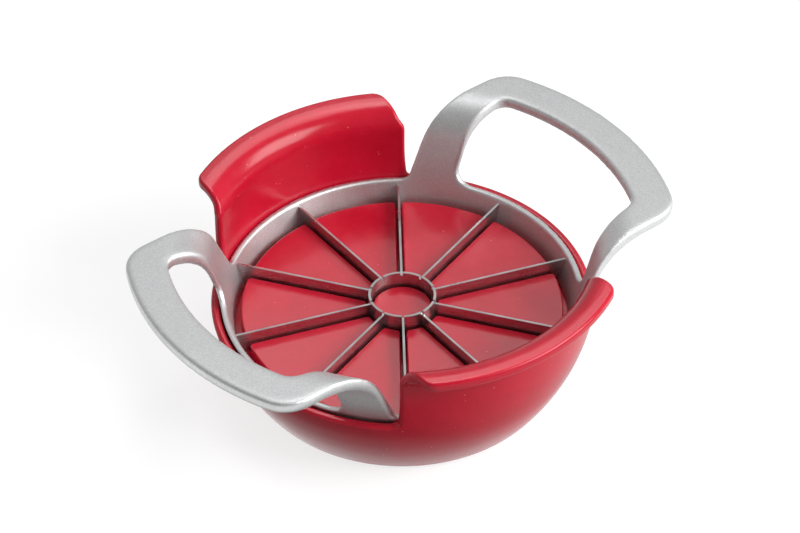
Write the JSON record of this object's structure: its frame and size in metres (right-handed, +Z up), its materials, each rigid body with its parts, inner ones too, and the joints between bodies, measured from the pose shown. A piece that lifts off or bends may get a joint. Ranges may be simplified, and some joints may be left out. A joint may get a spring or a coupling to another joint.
{
  "type": "apple slicer",
  "caption": "Hand-pressed apple slicer: a cast frame with looped handles, radial blades and a core ring sits down into a round bowl with slotted press pads and lipped lobes.",
  "frame": {"origin": "centre of the foot ring, on the surface the bowl stands on", "axes": "+Z up, along the pressing stroke; +X along the two handles; +Y through the two lobes"},
  "size_m": [0.178, 0.144, 0.0569],
  "materials": {
    "bowl_plastic": "glossy moulded plastic, deep red",
    "cast_metal": "satin die casting with a fine tumbled grain",
    "blade_steel": "cold-rolled stainless strip, ground edges"
  },
  "bodies": {
    "base": {"base_bowl": "bowl_plastic"},
    "slicer": {"cast_frame": "cast_metal", "core_ring": "blade_steel", "blade_01": "blade_steel", "blade_02": "blade_steel", "blade_03": "blade_steel", "blade_04": "blade_steel", "blade_05": "blade_steel", "blade_06": "blade_steel", "blade_07": "blade_steel", "blade_08": "blade_steel", "blade_09": "blade_steel", "blade_10": "blade_steel"}
  },
  "joints": [
    {"name": "slicer_lift", "type": "slide", "parent": "base", "child": "slicer", "axis": [0, 0, 1], "range_m": [0, 0.09]}
  ]
}
